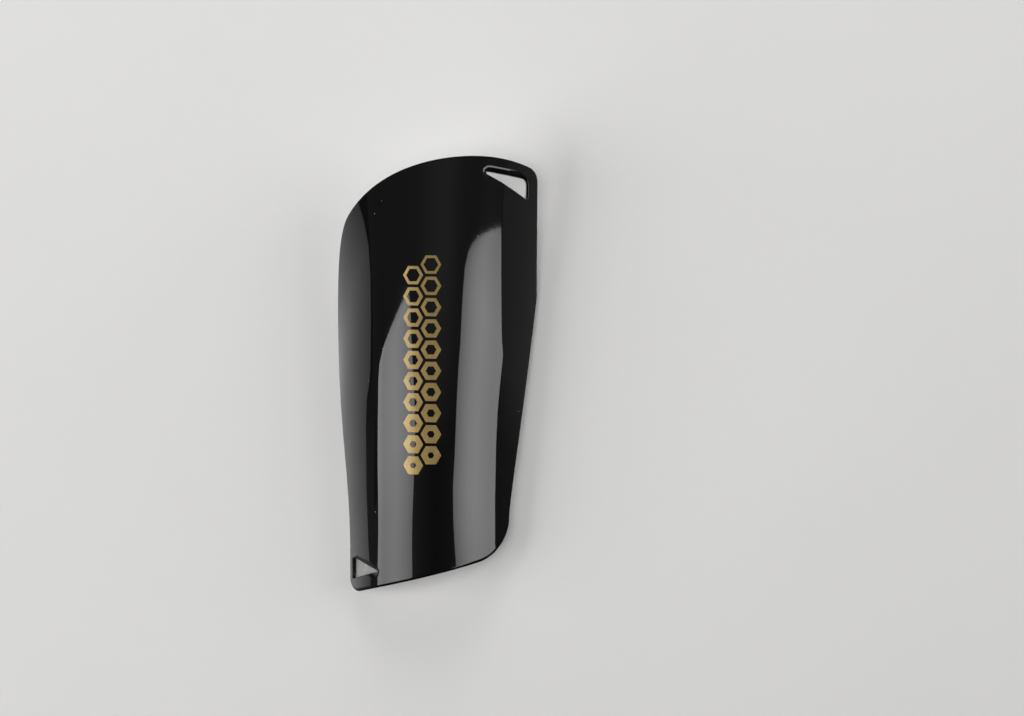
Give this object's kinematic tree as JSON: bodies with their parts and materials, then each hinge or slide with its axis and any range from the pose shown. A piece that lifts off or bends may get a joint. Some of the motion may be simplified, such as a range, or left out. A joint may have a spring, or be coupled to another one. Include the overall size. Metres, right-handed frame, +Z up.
{
  "type": "soccer shin guard",
  "caption": "Slip-in soccer shin guard: glossy bent plastic shell over a foam liner, tapered to the ankle, with triangular strap slots at opposite corners; shields the lower leg.",
  "frame": {"origin": "centre of the bounding box's bottom, on the surface that the guard lies on with its hollow side down", "axes": "+Y along the guard towards its wide knee end, +Z up out of the shell's face, +X to the right looking down on the face"},
  "size_m": [0.1044, 0.2172, 0.0378],
  "materials": {
    "shell": "glossy black moulded plastic with a gold print",
    "foam": "matte white closed-cell foam"
  },
  "bodies": {
    "root": {"shell": "shell", "foam_pad": "foam"}
  },
  "joints": []
}
